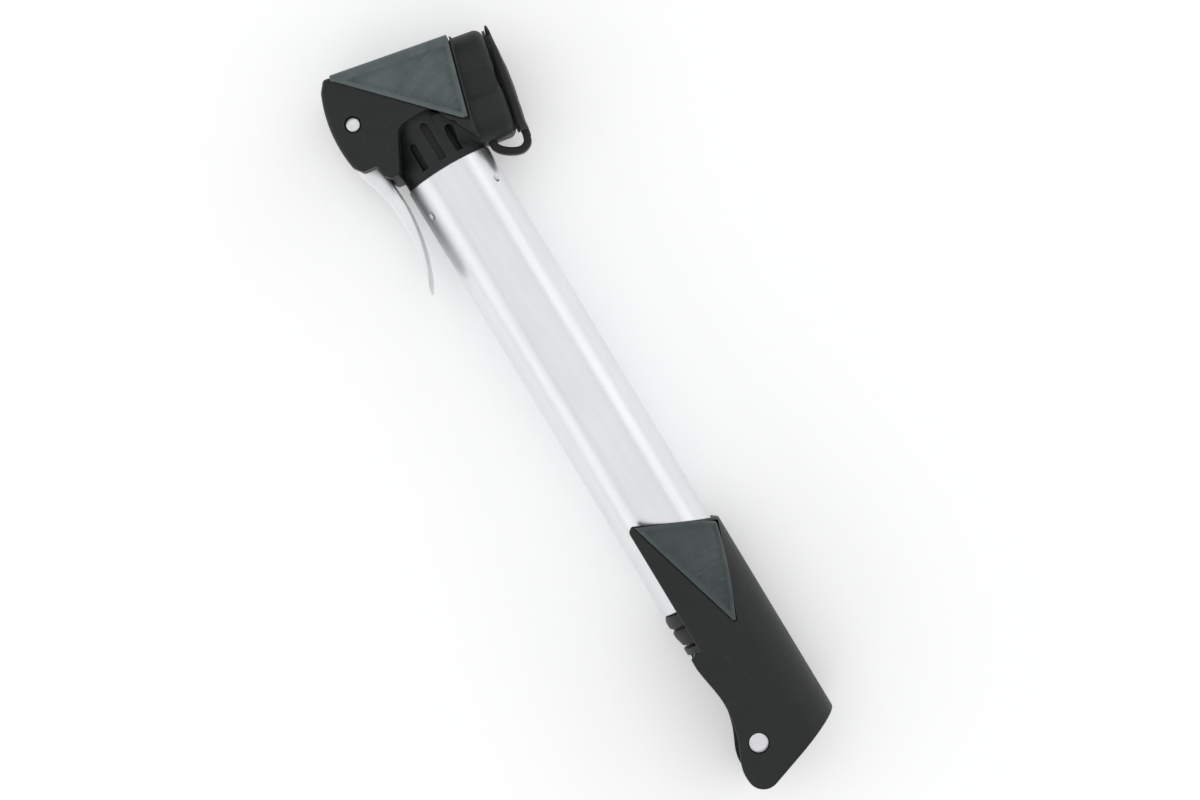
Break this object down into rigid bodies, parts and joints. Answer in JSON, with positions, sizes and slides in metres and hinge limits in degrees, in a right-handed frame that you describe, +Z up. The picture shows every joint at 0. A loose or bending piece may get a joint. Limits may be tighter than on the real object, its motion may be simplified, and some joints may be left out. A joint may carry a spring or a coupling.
{
  "type": "mini pump",
  "caption": "Hand-held bicycle tyre pump: metal barrel, twin-port head with a locking lever and dust cap, and a folding channel handle on the piston rod.",
  "frame": {"origin": "on the barrel's axis, at the barrel's head end, where the head's shoulder meets it", "axes": "+X along the barrel from the head to the handle, +Y out towards the valve ports' side, +Z up off the surface that the pump lies on"},
  "size_m": [0.2278, 0.0524, 0.03],
  "materials": {
    "barrel_aluminium": "satin drawn tube, lengthwise grain",
    "head_plastic": "fine moulded texture",
    "handle_plastic": "fine moulded texture",
    "grip_rubber": "soft matte grey-green rubber",
    "cap_rubber": "soft matte black rubber",
    "seal_rubber": "smooth black seal rubber",
    "lever_metal": "bead-blasted cast lever",
    "pin_steel": "bright riveted pin",
    "inner_plastic": "plain moulded plastic",
    "bush_plastic": "natural slippery plastic",
    "rod_metal": "polished rod"
  },
  "bodies": {
    "pump_body": {"barrel": "barrel_aluminium", "head_body": "head_plastic", "head_grip_insert": "grip_rubber", "port_cap": "head_plastic", "twin_gasket": "seal_rubber", "check_valve_seat": "bush_plastic", "check_valve_spring": "pin_steel", "spigot_o_ring": "seal_rubber", "lever_pin": "pin_steel", "dust_cap_strap": "cap_rubber", "barrel_end_cap": "head_plastic", "rod_bush": "bush_plastic", "rod_wiper": "seal_rubber"},
    "check_ball": {"check_valve_ball": "pin_steel"},
    "plunger": {"plunger": "inner_plastic", "plunger_seal": "seal_rubber", "depressor_pin": "bush_plastic"},
    "lever": {"lever": "lever_metal"},
    "dust_cap": {"dust_cap": "cap_rubber"},
    "piston_rod": {"piston_rod": "rod_metal", "piston_head": "inner_plastic", "piston_o_ring": "seal_rubber", "piston_screw": "pin_steel", "rod_end_carrier": "handle_plastic", "rod_cross_pin": "pin_steel", "bumper_ring": "cap_rubber"},
    "handle": {"handle_shell": "handle_plastic", "handle_insert_front": "grip_rubber", "handle_insert_back": "grip_rubber", "handle_pin": "pin_steel"}
  },
  "joints": [
    {"name": "piston_slide", "type": "slide", "parent": "pump_body", "child": "piston_rod", "axis": [1, 0, 0], "range_m": [0, 0.1]},
    {"name": "handle_fold", "type": "hinge", "parent": "piston_rod", "child": "handle", "pos_m": [0.1783, -0.00804, 0], "axis": [0, 0, -1], "range_deg": [0, 90]},
    {"name": "lever_swing", "type": "hinge", "parent": "pump_body", "child": "lever", "pos_m": [-0.0224, -0.0158, 0], "axis": [0, 0, -1], "range_deg": [0, 90]},
    {"name": "plunger_slide", "type": "slide", "parent": "pump_body", "child": "plunger", "axis": [0.1908, 0.9816, 0], "range_m": [0, 0.0016]},
    {"name": "dust_cap_fold", "type": "hinge", "parent": "pump_body", "child": "dust_cap", "pos_m": [0.00199, 0.02386, 0], "axis": [0, 0, -1], "range_deg": [0, 100], "deforming": ["dust_cap_strap"]},
    {"name": "check_ball_lift", "type": "slide", "parent": "pump_body", "child": "check_ball", "axis": [-1, 0, 0], "range_m": [0, 0.0008], "stiffness_N_per_m": 40, "springref_m": -0.002, "deforming": ["check_valve_spring"]}
  ],
  "couplings": [
    {"joint": "plunger_slide", "follows": "lever_swing", "m_per_rad": 0.0010186}
  ]
}
